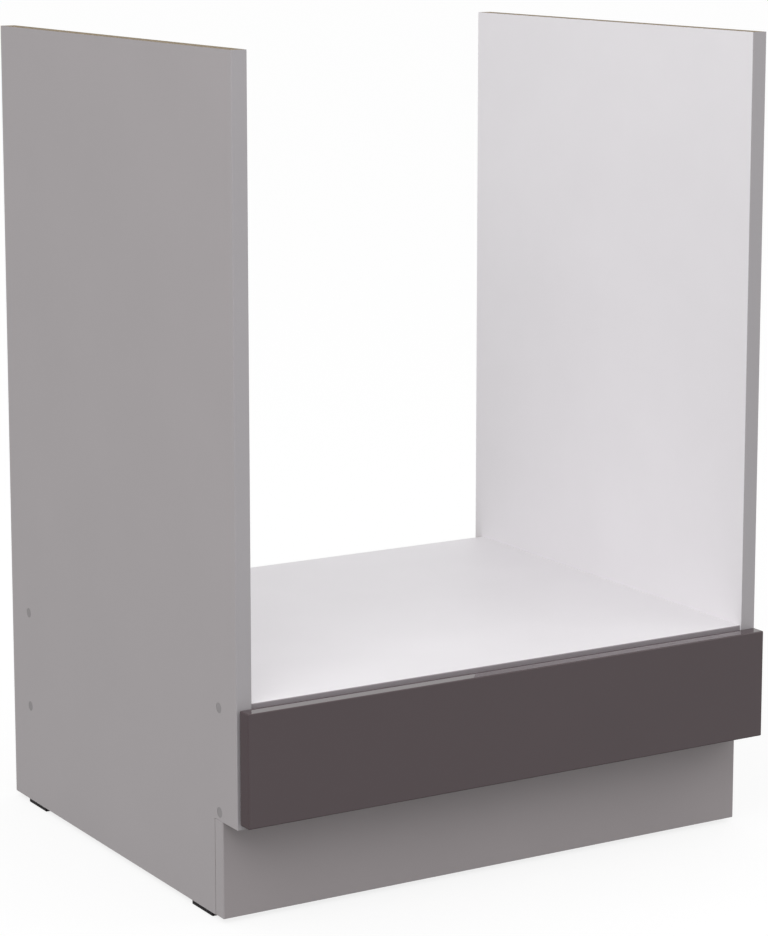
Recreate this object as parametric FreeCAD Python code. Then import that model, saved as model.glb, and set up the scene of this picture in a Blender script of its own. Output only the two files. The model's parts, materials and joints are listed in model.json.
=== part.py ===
import FreeCAD, Part
import os

# Kitchen base unit for a built-in oven: an open niche on a low drawer, with a recessed plinth.
# Millimetres. X runs across the unit, Y from the front to the back and Z up from the floor.
# The origin is on the floor, under the middle of the unit.

# Carcass boards
UNIT_WIDTH = 600.0          # outside to outside of the side panels
UNIT_HEIGHT = 820.0         # floor to the top edge of the side panels
SIDE_DEPTH = 500.0          # front edge to back edge of a side panel
SIDE_T = 16.0
BASE_T = 16.0
SHELF_T = 18.0
DRAWER_SPACE = 84.0         # clear height between the base board and the oven shelf
SHELF_SETBACK = 3.0         # oven shelf behind the front edges of the side panels
SHELF_BACK_SETBACK = 13.0   # boards and back panel short of the back edges of the side panels
BASE_SETBACK = 18.0         # base board behind the front edges, which leaves the finger gap
EDGE_T = 1.0                # plastic edge band
EDGE_ROUND = 0.8            # rounding along an edge band
ROUND_LIMIT = 0.9           # largest share of an edge that a rounding takes
BACK_T = 3.0                # hardboard back panel of the drawer space
BACK_MARGIN = 2.0           # back panel short of the boards that it is nailed to
BACK_SIDE_PLAY = 0.5

# Plinth and feet
GLIDE_H = 5.0
GLIDE_LENGTH = 42.0
GLIDE_WIDTH = 12.0
GLIDE_INSET = 2.0           # glide behind the outer face of the side panel
GLIDE_FRONT_INSET = 10.0    # front glide behind the notch of the side panel
GLIDE_REAR_INSET = 29.0     # rear glide ahead of the back edge of the side panel
GLIDE_ROUND = 0.8
PLINTH_H = 95.0
PLINTH_T = 16.0
PLINTH_SETBACK = 29.0       # plinth face behind the front edges of the side panels
BLOCK_SIZE = 22.0           # plinth corner block, along Y and Z
BLOCK_LENGTH = 40.0
BLOCK_WALL = 4.0
BLOCK_RIB = 2.0
BLOCK_INSET = 134.0         # centre of a plinth block from the inner face of the side panel
BLOCK_SCREW_OFFSET = 10.0   # screws to either side of the middle of a block

# Drawer front
FRONT_T = 16.0
FRONT_GAP = 2.0             # shadow gap between the front and the side panels
FRONT_REVEAL = 2.0          # front short of the outside of the side panel, at each end
FRONT_LIFT = 5.0            # lower edge of the front above the top of the plinth
FRONT_DROP = 3.0            # upper edge of the front below the top of the shelf
FRONT_ROUND = 1.2
BUMPER_R = 4.0
BUMPER_INSET = 12.0         # bumper from the upper and lower edges of the front
BUMPER_PLAY = 0.2

# Drawer box, with folded steel sides
DRAWER_LIFT = 5.0           # steel sides above the base board
DRAWER_HEADROOM = 25.0      # steel sides below the oven shelf
STEEL_T = 1.0
DRAWER_WALL = 12.0          # outer to inner skin of a steel side
BOTTOM_T = 16.0
BOTTOM_LEDGE = 15.0         # inward flange of a steel side, under the drawer bottom
BOARD_PLAY = 0.3            # drawer boards between the steel sides
DRAWER_BACK_T = 16.0
DRAWER_REAR_GAP = 5.0       # steel sides short of the rear end of the runners
BRACKET_T = 1.5
BRACKET_LEG = 34.0
BRACKET_MARGIN = 4.0        # bracket below the rim and above the drawer bottom
BRACKET_END = 7.0           # outer fastening from the free end of a bracket leg
BRACKET_PITCH = 13.0        # between the two fastenings of a leg

# Roller runners
RUNNER_T = 1.2
RUNNER_LIFT = 8.0           # runner above the base board
RUNNER_SETBACK = 3.0        # runner behind the front edges of the side panels
RUNNER_REAR_GAP = 34.0      # runner ahead of the back panel
RUNNER_SIDE_PLAY = 0.4      # runner flange and the steel side
ROLLER_R = 9.0
ROLLER_W = 6.0
ROLLER_END_INSET = 12.0     # roller axis from the end of its runner
ROLLER_END_PLAY = 0.3       # each face of a roller
ROLL_GAP = 0.2              # roller and its track
RIDER_PLAY = 0.6            # rear roller and the riding flange above it
RIDER_TIP_PLAY = 0.7        # riding flange and the screw heads in the runner
UPPER_PLAY = 0.8            # riding flange and the upper flange of the runner
AXLE_R = 2.5
AXLE_PLAY = 0.05
AXLE_HEAD_LIP = 1.5
AXLE_HEAD_T = 0.6
AXLE_HEAD_PLAY = 0.9        # rear axle and the screw heads in the runner

# Carcass fastenings
SCREW_FRONT_INSET = 35.0    # screw axis from the front edge of the side panel
SCREW_REAR_INSET = 41.0     # screw axis from the back edge of the side panel
SCREW_LENGTH = 50.0
SCREW_ROOT_R = 2.5
SCREW_SHANK_STEP = 0.9      # shank over the root of the thread
SCREW_HEAD_LIP = 1.4        # head over the shank
SCREW_HEAD_H = 3.0
CAP_LIP = 0.2               # cap over the screw head
CAP_T = 1.2
HOLE_PLAY = 0.05            # radial play of a fastening in its hole
DOWEL_R = 4.0
DOWEL_IN_BOARD = 20.0
DOWEL_COVER = 6.0           # side panel left beyond the end of a dowel
DOWEL_PITCH = 64.0          # dowel from the screw beside it
DOWEL_END_PLAY = 0.5

# Small fastenings
NAIL_R = 1.0
NAIL_HEAD_LIP = 1.3
NAIL_HEAD_T = 1.0
NAIL_GRIP = 20.0            # length of a nail in the board behind the piece it holds
GLIDE_NAIL_INSET = 9.0      # nail axis from the end of a glide
GLIDE_NAIL_RECESS = 1.0     # nail head above the floor
BACK_NAILS = 5
BACK_NAIL_INSET = 30.0      # outermost nail from the inner face of the side panel
WOOD_SCREW_R = 1.6
WOOD_SCREW_HEAD_LIP = 1.8
WOOD_SCREW_HEAD_T = 0.7
WOOD_SCREW_COVER = 4.0      # board left beyond the tip of a screw
RUNNER_SCREWS = 3           # in each runner
RUNNER_SCREW_INSET = 40.0   # screw from the end of its runner
BOTTOM_SCREWS = 3           # along each steel side
BOTTOM_SCREW_INSET = 60.0   # screw from the end of a steel side
BACK_SCREWS = 3
BACK_SCREW_INSET = 60.0     # screw from the end of the drawer back
BACK_SCREW_GRIP = 20.0

# Radii that follow from those of the fastenings
AXLE_HEAD_R = AXLE_R + AXLE_HEAD_LIP
SCREW_SHANK_R = SCREW_ROOT_R + SCREW_SHANK_STEP
SCREW_HEAD_R = SCREW_SHANK_R + SCREW_HEAD_LIP
CAP_R = SCREW_HEAD_R + CAP_LIP
NAIL_HEAD_R = NAIL_R + NAIL_HEAD_LIP
WOOD_SCREW_HEAD_R = WOOD_SCREW_R + WOOD_SCREW_HEAD_LIP

# Places across the unit, as distances from its middle
X_OUT = UNIT_WIDTH / 2
X_IN = X_OUT - SIDE_T
X_FRONT = X_OUT - FRONT_REVEAL
X_WEB = X_IN - RUNNER_T
X_FRONT_ROLLER = X_WEB - ROLLER_END_PLAY
X_RIDER = X_WEB - WOOD_SCREW_HEAD_T - RIDER_TIP_PLAY
X_REAR_AXLE = X_WEB - WOOD_SCREW_HEAD_T - AXLE_HEAD_PLAY
X_REAR_ROLLER = X_REAR_AXLE - AXLE_HEAD_T - ROLLER_END_PLAY
X_SKIN_OUT = X_REAR_ROLLER - ROLLER_W - ROLLER_END_PLAY
X_RUNNER = X_SKIN_OUT + RUNNER_SIDE_PLAY
X_SKIN_IN = X_SKIN_OUT - DRAWER_WALL
X_BOARD = X_SKIN_IN - BOARD_PLAY
X_BLOCK = -(X_IN - BLOCK_INSET)

# Places from the front to the back
Y_FACE = -(SIDE_DEPTH + FRONT_GAP + FRONT_T) / 2
Y_FRONT_BACK = Y_FACE + FRONT_T
Y_SIDE = Y_FRONT_BACK + FRONT_GAP
Y_SIDE_BACK = Y_SIDE + SIDE_DEPTH
Y_PLINTH = Y_SIDE + PLINTH_SETBACK
Y_NOTCH = Y_PLINTH + PLINTH_T
Y_SHELF = Y_SIDE + SHELF_SETBACK
Y_BASE = Y_SIDE + BASE_SETBACK
Y_BACK = Y_SIDE_BACK - SHELF_BACK_SETBACK
Y_RUNNER = Y_SIDE + RUNNER_SETBACK
Y_RUNNER_END = Y_BACK - RUNNER_REAR_GAP
Y_BOX_END = Y_RUNNER_END - DRAWER_REAR_GAP
Y_FRONT_ROLLER = Y_RUNNER + ROLLER_END_INSET
Y_REAR_ROLLER = Y_BOX_END - ROLLER_END_INSET
Y_SCREWS = (Y_SIDE + SCREW_FRONT_INSET, Y_SIDE_BACK - SCREW_REAR_INSET)
Y_DOWELS = (Y_SCREWS[0] + DOWEL_PITCH, Y_SCREWS[1] - DOWEL_PITCH)
Y_GLIDES = (Y_NOTCH + GLIDE_FRONT_INSET, Y_SIDE_BACK - GLIDE_REAR_INSET - GLIDE_LENGTH)

# Heights
Z_TOE = GLIDE_H + PLINTH_H
Z_BASE = Z_TOE + BASE_T
Z_SHELF_UNDER = Z_BASE + DRAWER_SPACE
Z_SHELF = Z_SHELF_UNDER + SHELF_T
Z_FRONT_LOW = Z_TOE + FRONT_LIFT
Z_FRONT_HIGH = Z_SHELF - FRONT_DROP
Z_BOARDS = (Z_TOE + BASE_T / 2, Z_SHELF_UNDER + SHELF_T / 2)
Z_RUNNER = Z_BASE + RUNNER_LIFT
Z_REAR_ROLLER = Z_RUNNER + RUNNER_T + ROLL_GAP + ROLLER_R
Z_RIDER = Z_REAR_ROLLER + ROLLER_R + RIDER_PLAY
Z_FRONT_ROLLER = Z_RIDER - ROLL_GAP - ROLLER_R
Z_UPPER_TRACK = Z_RIDER + STEEL_T + UPPER_PLAY
Z_BOX = Z_BASE + DRAWER_LIFT
Z_RIM = Z_SHELF_UNDER - DRAWER_HEADROOM
Z_BOTTOM = Z_BOX + STEEL_T
Z_TRAY = Z_BOTTOM + BOTTOM_T

UP = FreeCAD.Vector(0, 0, 1)
ACROSS = FreeCAD.Vector(1, 0, 0)


def vec(x, y, z):
    return FreeCAD.Vector(x, y, z)


def box(x, y, z):
    """A box from three (low, high) pairs."""
    return Part.makeBox(x[1] - x[0], y[1] - y[0], z[1] - z[0], vec(x[0], y[0], z[0]))


def rod(radius, start, end):
    """A cylinder from one point to another."""
    run = end - start
    return Part.makeCylinder(radius, run.Length, start, run)


def rod_across(radius, x_low, x_high, y, z):
    return rod(radius, vec(x_low, y, z), vec(x_high, y, z))


def wood_screw(tip, neck, play=0.0):
    """A screw or rivet from its tip to the underside of its head, or with play its plain hole."""
    way = neck - tip
    way.normalize()
    shank = rod(WOOD_SCREW_R + play, tip - way * play, neck)
    if play:
        return shank
    head = rod(WOOD_SCREW_HEAD_R, neck, neck + way * WOOD_SCREW_HEAD_T)
    return fused([shank, head])


def mirrored(shape):
    """The same piece on the other side of the unit."""
    return shape.mirror(vec(0, 0, 0), ACROSS)


def both_sides(solids):
    return solids + [mirrored(solid) for solid in solids]


def fused(solids):
    whole = solids[0].multiFuse(solids[1:])
    return whole.removeSplitter()


def group(solids):
    """Several separate solids that share one node."""
    return Part.makeCompound(solids)


def spread(low, high, count):
    step = (high - low) / (count - 1)
    return [low + step * i for i in range(count)]


def rounded(solid, radius, wall, edges):
    """Rounds edges, by no more than the wall beside them leaves room for."""
    return solid.makeFillet(min(radius, ROUND_LIMIT * wall), edges)


def edges_along(solid, axis):
    """The straight edges of a box that run along one of the axes."""
    return [edge for edge in solid.Edges if abs(edge.tangentAt(edge.FirstParameter).dot(axis)) > 0.5]


def front_edges_along(solid, axis):
    return [edge for edge in edges_along(solid, axis) if edge.CenterOfMass.y < solid.CenterOfMass.y]


# Carcass fastenings of the left side, along X from the outer face inwards


def carcass_seats():
    return [(y, z) for z in Z_BOARDS for y in Y_SCREWS]


def dowel_seats():
    return [(y, z) for z in Z_BOARDS for y in Y_DOWELS]


def screw_at(y, z, play=0.0):
    """A carcass screw, or with play the hole that it goes into."""
    x_head = -X_OUT + CAP_T
    x_neck = x_head + SCREW_HEAD_H
    x_tip = x_head + SCREW_LENGTH
    head = rod(SCREW_HEAD_R + play, vec(x_head, y, z), vec(x_neck, y, z))
    shank = rod(SCREW_SHANK_R + play, vec(x_neck, y, z), vec(-X_IN, y, z))
    thread = rod(SCREW_ROOT_R + play, vec(-X_IN, y, z), vec(x_tip + play, y, z))
    return fused([head, shank, thread])


def cap_at(y, z, play=0.0):
    return rod(CAP_R + play, vec(-X_OUT, y, z), vec(-X_OUT + CAP_T, y, z))


def dowel_at(y, z, play=0.0, end_play=0.0):
    x_low = -X_OUT + DOWEL_COVER - end_play
    return rod(DOWEL_R + play, vec(x_low, y, z), vec(-X_IN + DOWEL_IN_BOARD + end_play, y, z))


def carcass_holes():
    """Everything drilled for the left joints, through the side panel and into the boards."""
    cuts = []
    for y, z in carcass_seats():
        cuts += [screw_at(y, z, HOLE_PLAY), cap_at(y, z, HOLE_PLAY)]
    cuts += [dowel_at(y, z, HOLE_PLAY, DOWEL_END_PLAY) for y, z in dowel_seats()]
    return cuts


# Glides and their nails, under the left side panel


def glide_span(y_start):
    x_low = -X_OUT + GLIDE_INSET
    return (x_low, x_low + GLIDE_WIDTH), (y_start, y_start + GLIDE_LENGTH)


def glide_nail_places(y_start):
    (x_low, x_high), (y_low, y_high) = glide_span(y_start)
    x_mid = (x_low + x_high) / 2
    return [(x_mid, y_low + GLIDE_NAIL_INSET), (x_mid, y_high - GLIDE_NAIL_INSET)]


def glide_nail(x, y, play=0.0):
    """A nail under a glide, or with play the hole for it, open to the floor."""
    z_head = 0.0 if play else GLIDE_NAIL_RECESS
    z_neck = GLIDE_NAIL_RECESS + NAIL_HEAD_T
    head = rod(NAIL_HEAD_R + play, vec(x, y, z_head), vec(x, y, z_neck))
    shank = rod(NAIL_R + play, vec(x, y, z_neck), vec(x, y, GLIDE_H + NAIL_GRIP + play))
    return fused([head, shank])


def glide(y_start):
    x_span, y_span = glide_span(y_start)
    pad = box(x_span, y_span, (0.0, GLIDE_H))
    pad = rounded(pad, GLIDE_ROUND, GLIDE_WIDTH / 2, edges_along(pad, UP))
    return pad.cut([glide_nail(x, y, HOLE_PLAY) for x, y in glide_nail_places(y_start)])


def all_glide_nails():
    return [glide_nail(x, y) for start in Y_GLIDES for x, y in glide_nail_places(start)]


# Runner fastenings of the left side


def runner_screw_places():
    z = (Z_RUNNER + RUNNER_T + Z_UPPER_TRACK) / 2
    y_first, y_last = Y_RUNNER + RUNNER_SCREW_INSET, Y_RUNNER_END - RUNNER_SCREW_INSET
    return [(y, z) for y in spread(y_first, y_last, RUNNER_SCREWS)]


def runner_screw(y, z, play=0.0):
    tip = vec(-X_OUT + WOOD_SCREW_COVER, y, z)
    return wood_screw(tip, vec(-X_WEB, y, z), play)


def runner_screw_holes():
    return [runner_screw(y, z, HOLE_PLAY) for y, z in runner_screw_places()]


# Carcass boards


def side_panel():
    """Left side panel, with the toe notch at its lower front corner."""
    y_core = Y_SIDE + EDGE_T
    outline = [
        (y_core, Z_TOE),
        (y_core, UNIT_HEIGHT),
        (Y_SIDE_BACK, UNIT_HEIGHT),
        (Y_SIDE_BACK, GLIDE_H),
        (Y_NOTCH, GLIDE_H),
        (Y_NOTCH, Z_TOE),
    ]
    points = [vec(-X_OUT, y, z) for y, z in outline]
    face = Part.Face(Part.makePolygon(points + points[:1]))
    panel = face.extrude(vec(SIDE_T, 0, 0))
    nails = [glide_nail(x, y, HOLE_PLAY) for start in Y_GLIDES for x, y in glide_nail_places(start)]
    return panel.cut(carcass_holes() + runner_screw_holes() + nails)


def side_edge_band():
    band = box((-X_OUT, -X_IN), (Y_SIDE, Y_SIDE + EDGE_T), (Z_TOE, UNIT_HEIGHT))
    return rounded(band, EDGE_ROUND, EDGE_T, front_edges_along(band, UP))


def cross_board_edge_band(y_front, z_low, z_high):
    """Edge band along the front of a board between the side panels."""
    band = box((-X_IN, X_IN), (y_front, y_front + EDGE_T), (z_low, z_high))
    return rounded(band, EDGE_ROUND, EDGE_T, front_edges_along(band, ACROSS))


def cross_board(y_front, z_low, z_high):
    """Board between the side panels, behind its edge band."""
    board = box((-X_IN, X_IN), (y_front + EDGE_T, Y_BACK), (z_low, z_high))
    return board.cut(both_sides(carcass_holes()))


def oven_shelf():
    return cross_board(Y_SHELF, Z_SHELF_UNDER, Z_SHELF).cut(back_nails(HOLE_PLAY))


def base_board():
    board = cross_board(Y_BASE, Z_TOE, Z_BASE)
    return board.cut(back_nails(HOLE_PLAY) + both_sides([block_screw_up(HOLE_PLAY)]))


def back_panel():
    x_half = X_IN - BACK_SIDE_PLAY
    z_span = (Z_TOE + BACK_MARGIN, Z_SHELF - BACK_MARGIN)
    panel = box((-x_half, x_half), (Y_BACK, Y_BACK + BACK_T), z_span)
    return panel.cut(back_nails(HOLE_PLAY))


def back_nails(play=0.0):
    """Nails through the back panel into the boards, or with play their holes."""
    nails = []
    y_head = Y_BACK + BACK_T
    x_last = X_IN - BACK_NAIL_INSET
    for z in Z_BOARDS:
        for x in spread(-x_last, x_last, BACK_NAILS):
            shank = rod(NAIL_R + play, vec(x, Y_BACK - NAIL_GRIP - play, z), vec(x, y_head, z))
            head = rod(NAIL_HEAD_R, vec(x, y_head, z), vec(x, y_head + NAIL_HEAD_T, z))
            nails.append(shank if play else fused([shank, head]))
    return nails


# Plinth


def plinth_board():
    board = box((-X_OUT, X_OUT), (Y_PLINTH, Y_NOTCH), (GLIDE_H, Z_TOE))
    return board.cut(both_sides([block_screw_forward(HOLE_PLAY)]))


def block_screw_up(play=0.0):
    """Screw through the upper wall of the left plinth block into the base board."""
    x = X_BLOCK - BLOCK_SCREW_OFFSET
    y = Y_NOTCH + (BLOCK_SIZE + BLOCK_WALL) / 2
    return wood_screw(vec(x, y, Z_BASE - WOOD_SCREW_COVER), vec(x, y, Z_TOE - BLOCK_WALL), play)


def block_screw_forward(play=0.0):
    """Screw through the front wall of the left plinth block into the plinth."""
    x = X_BLOCK + BLOCK_SCREW_OFFSET
    z = Z_TOE - (BLOCK_SIZE + BLOCK_WALL) / 2
    return wood_screw(vec(x, Y_PLINTH + WOOD_SCREW_COVER, z), vec(x, Y_NOTCH + BLOCK_WALL, z), play)


def plinth_block():
    """Left moulded corner block: a front wall, an upper wall and a rib at each end."""
    x_span = (X_BLOCK - BLOCK_LENGTH / 2, X_BLOCK + BLOCK_LENGTH / 2)
    y_span = (Y_NOTCH, Y_NOTCH + BLOCK_SIZE)
    z_span = (Z_TOE - BLOCK_SIZE, Z_TOE)
    whole = box(x_span, y_span, z_span)
    hollow = box(
        (x_span[0] + BLOCK_RIB, x_span[1] - BLOCK_RIB),
        (y_span[0] + BLOCK_WALL, y_span[1]),
        (z_span[0], z_span[1] - BLOCK_WALL),
    )
    return whole.cut([hollow, block_screw_up(HOLE_PLAY), block_screw_forward(HOLE_PLAY)])


# Roller runners of the left side


def runner():
    """Folded channel on the side panel. The rear roller of the drawer runs in it."""
    y_span = (Y_RUNNER, Y_RUNNER_END)
    z_top = Z_UPPER_TRACK + RUNNER_T
    web = box((-X_IN, -X_WEB), y_span, (Z_RUNNER, z_top))
    lower = box((-X_IN, -X_RUNNER), y_span, (Z_RUNNER, Z_RUNNER + RUNNER_T))
    upper = box((-X_IN, -X_RUNNER), y_span, (Z_UPPER_TRACK, z_top))
    pin_hole = rod_across(AXLE_R + HOLE_PLAY, -X_IN, -X_WEB, Y_FRONT_ROLLER, Z_FRONT_ROLLER)
    return fused([web, lower, upper]).cut([pin_hole] + runner_screw_holes())


def roller(x_low, y, z):
    wheel = rod_across(ROLLER_R, x_low, x_low + ROLLER_W, y, z)
    bore = rod_across(AXLE_R + AXLE_PLAY, x_low, x_low + ROLLER_W, y, z)
    return wheel.cut(bore)


def front_roller():
    return roller(-X_FRONT_ROLLER, Y_FRONT_ROLLER, Z_FRONT_ROLLER)


def rear_roller():
    return roller(-X_REAR_ROLLER, Y_REAR_ROLLER, Z_REAR_ROLLER)


def front_axle():
    """Pin riveted in the runner, with a head that keeps the roller on."""
    x_head = -X_FRONT_ROLLER + ROLLER_W + ROLLER_END_PLAY
    pin = rod_across(AXLE_R, -X_IN, x_head, Y_FRONT_ROLLER, Z_FRONT_ROLLER)
    head = rod_across(AXLE_HEAD_R, x_head, x_head + AXLE_HEAD_T, Y_FRONT_ROLLER, Z_FRONT_ROLLER)
    return fused([pin, head])


def rear_axle():
    """Pin riveted in the steel side, with a head that keeps the roller on."""
    x_head = -X_REAR_AXLE
    x_tail = -X_SKIN_OUT + STEEL_T
    pin = rod_across(AXLE_R, x_head + AXLE_HEAD_T, x_tail, Y_REAR_ROLLER, Z_REAR_ROLLER)
    head = rod_across(AXLE_HEAD_R, x_head, x_head + AXLE_HEAD_T, Y_REAR_ROLLER, Z_REAR_ROLLER)
    return fused([pin, head])


# Drawer


def drawer_front():
    front = box((-X_FRONT, X_FRONT), (Y_FACE, Y_FRONT_BACK), (Z_FRONT_LOW, Z_FRONT_HIGH))
    front = rounded(front, FRONT_ROUND, FRONT_T / 2, front.Edges)
    return front.cut(both_sides(bracket_front_screws(HOLE_PLAY)))


def front_bumpers():
    y_tip = Y_FRONT_BACK + FRONT_GAP - BUMPER_PLAY
    x_mid = (X_IN + X_FRONT) / 2
    heights = (Z_FRONT_LOW + BUMPER_INSET, Z_FRONT_HIGH - BUMPER_INSET)
    return [rod(BUMPER_R, vec(s * x_mid, Y_FRONT_BACK, z), vec(s * x_mid, y_tip, z))
            for s in (-1, 1) for z in heights]


def drawer_side():
    """Left steel side: two skins under a rim, a riding flange outwards and a ledge inwards."""
    y_span = (Y_FRONT_BACK, Y_BOX_END)
    outer = box((-X_SKIN_OUT, -X_SKIN_OUT + STEEL_T), y_span, (Z_BOX, Z_RIM))
    inner = box((-X_SKIN_IN - STEEL_T, -X_SKIN_IN), y_span, (Z_BOX, Z_RIM))
    rim = box((-X_SKIN_OUT, -X_SKIN_IN), y_span, (Z_RIM - STEEL_T, Z_RIM))
    rider = box((-X_RIDER, -X_SKIN_OUT), y_span, (Z_RIDER, Z_RIDER + STEEL_T))
    ledge = box((-X_SKIN_IN, -X_SKIN_IN + BOTTOM_LEDGE), y_span, (Z_BOX, Z_BOX + STEEL_T))
    pin_hole = rod_across(AXLE_R + HOLE_PLAY, -X_SKIN_OUT, -X_SKIN_OUT + STEEL_T,
                          Y_REAR_ROLLER, Z_REAR_ROLLER)
    holes = [pin_hole] + bottom_screws(HOLE_PLAY) + bracket_rivets(HOLE_PLAY)
    return fused([outer, inner, rim, rider, ledge]).cut(holes)


def drawer_bottom():
    board = box((-X_BOARD, X_BOARD), (Y_FRONT_BACK, Y_BOX_END), (Z_BOTTOM, Z_TRAY))
    return board.cut(both_sides(bottom_screws(HOLE_PLAY)) + drawer_back_screws(HOLE_PLAY))


def drawer_back():
    board = box((-X_BOARD, X_BOARD), (Y_BOX_END - DRAWER_BACK_T, Y_BOX_END), (Z_TRAY, Z_RIM))
    return board.cut(drawer_back_screws(HOLE_PLAY))


def bottom_screws(play=0.0):
    """Screws up through the left ledge into the drawer bottom, or with play their holes."""
    x = -X_SKIN_IN + BOTTOM_LEDGE / 2
    places = spread(Y_FRONT_BACK + BOTTOM_SCREW_INSET, Y_BOX_END - BOTTOM_SCREW_INSET, BOTTOM_SCREWS)
    return [wood_screw(vec(x, y, Z_TRAY - WOOD_SCREW_COVER), vec(x, y, Z_BOX), play) for y in places]


def drawer_back_screws(play=0.0):
    """Screws up through the drawer bottom into the drawer back, with their heads let in."""
    y = Y_BOX_END - DRAWER_BACK_T / 2
    x_last = X_BOARD - BACK_SCREW_INSET
    z_neck = Z_BOTTOM + WOOD_SCREW_HEAD_T
    screws = []
    for x in spread(-x_last, x_last, BACK_SCREWS):
        head = rod(WOOD_SCREW_HEAD_R + play, vec(x, y, Z_BOTTOM), vec(x, y, z_neck))
        shank = rod(WOOD_SCREW_R + play, vec(x, y, z_neck), vec(x, y, Z_TRAY + BACK_SCREW_GRIP + play))
        screws.append(fused([head, shank]))
    return screws


def front_bracket():
    """Left angle bracket between the inner skin of the steel side and the drawer front."""
    z_span = (Z_TRAY + BRACKET_MARGIN, Z_RIM - BRACKET_MARGIN)
    x_skin = -X_SKIN_IN
    along_side = box((x_skin, x_skin + BRACKET_T), (Y_FRONT_BACK, Y_FRONT_BACK + BRACKET_LEG), z_span)
    along_front = box((x_skin, x_skin + BRACKET_LEG), (Y_FRONT_BACK, Y_FRONT_BACK + BRACKET_T), z_span)
    return fused([along_side, along_front]).cut(bracket_rivets(HOLE_PLAY) + bracket_front_screws(HOLE_PLAY))


def bracket_places():
    """Distances of the two fastenings along a bracket leg, from its bend."""
    outer = BRACKET_LEG - BRACKET_END
    return (outer - BRACKET_PITCH, outer)


def bracket_rivets(play=0.0):
    """Rivets through the left bracket and the inner skin, or with play their holes."""
    z = (Z_TRAY + Z_RIM) / 2
    x_tail, x_face = -X_SKIN_IN - STEEL_T, -X_SKIN_IN + BRACKET_T
    places = [Y_FRONT_BACK + run for run in bracket_places()]
    return [wood_screw(vec(x_tail, y, z), vec(x_face, y, z), play) for y in places]


def bracket_front_screws(play=0.0):
    """Screws through the left bracket into the drawer front, or with play their holes."""
    z = (Z_TRAY + Z_RIM) / 2
    y_tip, y_face = Y_FACE + WOOD_SCREW_COVER, Y_FRONT_BACK + BRACKET_T
    places = [-X_SKIN_IN + run for run in bracket_places()]
    return [wood_screw(vec(x, y_tip, z), vec(x, y_face, z), play) for x in places]


def paired(name, shape):
    """A piece and its mirror image, as two nodes."""
    return {name + "_left": shape, name + "_right": mirrored(shape)}


def pieces():
    found = {}
    found.update(paired("side_panel", side_panel()))
    found.update(paired("side_edge_band", side_edge_band()))
    found["oven_shelf"] = oven_shelf()
    found["oven_shelf_edge_band"] = cross_board_edge_band(Y_SHELF, Z_SHELF_UNDER, Z_SHELF)
    found["base_board"] = base_board()
    found["base_board_edge_band"] = cross_board_edge_band(Y_BASE, Z_TOE, Z_BASE)
    found["back_panel"] = back_panel()
    found["back_panel_nails"] = group(back_nails())
    found.update(paired("carcass_screws", group([screw_at(y, z) for y, z in carcass_seats()])))
    found.update(paired("screw_caps", group([cap_at(y, z) for y, z in carcass_seats()])))
    found.update(paired("carcass_dowels", group([dowel_at(y, z) for y, z in dowel_seats()])))
    for place, start in zip(("front", "rear"), Y_GLIDES):
        found.update(paired("glide_" + place, glide(start)))
    found["glide_nails"] = group(both_sides(all_glide_nails()))
    found["plinth_board"] = plinth_board()
    found.update(paired("plinth_block", plinth_block()))
    found["plinth_block_screws"] = group(both_sides([block_screw_up(), block_screw_forward()]))
    found.update(paired("runner", runner()))
    found["runner_screws"] = group(both_sides([runner_screw(y, z) for y, z in runner_screw_places()]))
    found.update(paired("front_roller", front_roller()))
    found.update(paired("front_roller_axle", front_axle()))
    found["drawer_front"] = drawer_front()
    found["front_bumpers"] = group(front_bumpers())
    found.update(paired("drawer_side", drawer_side()))
    found["drawer_bottom"] = drawer_bottom()
    found["drawer_back"] = drawer_back()
    found["drawer_bottom_screws"] = group(both_sides(bottom_screws()))
    found["drawer_back_screws"] = group(drawer_back_screws())
    found.update(paired("front_bracket", front_bracket()))
    found["bracket_rivets"] = group(both_sides(bracket_rivets()))
    found["bracket_screws"] = group(both_sides(bracket_front_screws()))
    found.update(paired("rear_roller", rear_roller()))
    found.update(paired("rear_roller_axle", rear_axle()))
    return found


def main():
    os.makedirs("parts", exist_ok=True)
    for name, shape in pieces().items():
        if not shape.isValid():
            raise RuntimeError(name + " is not a valid shape")
        shape.exportStep("parts/" + name + ".step")
        print(name, len(shape.Solids), round(shape.Volume, 1))


main()
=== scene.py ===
import json
import math
from collections import namedtuple

import bmesh
import bpy
from bpy.props import FloatProperty, FloatVectorProperty, IntProperty, PointerProperty
from mathutils import Matrix, Vector

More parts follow.
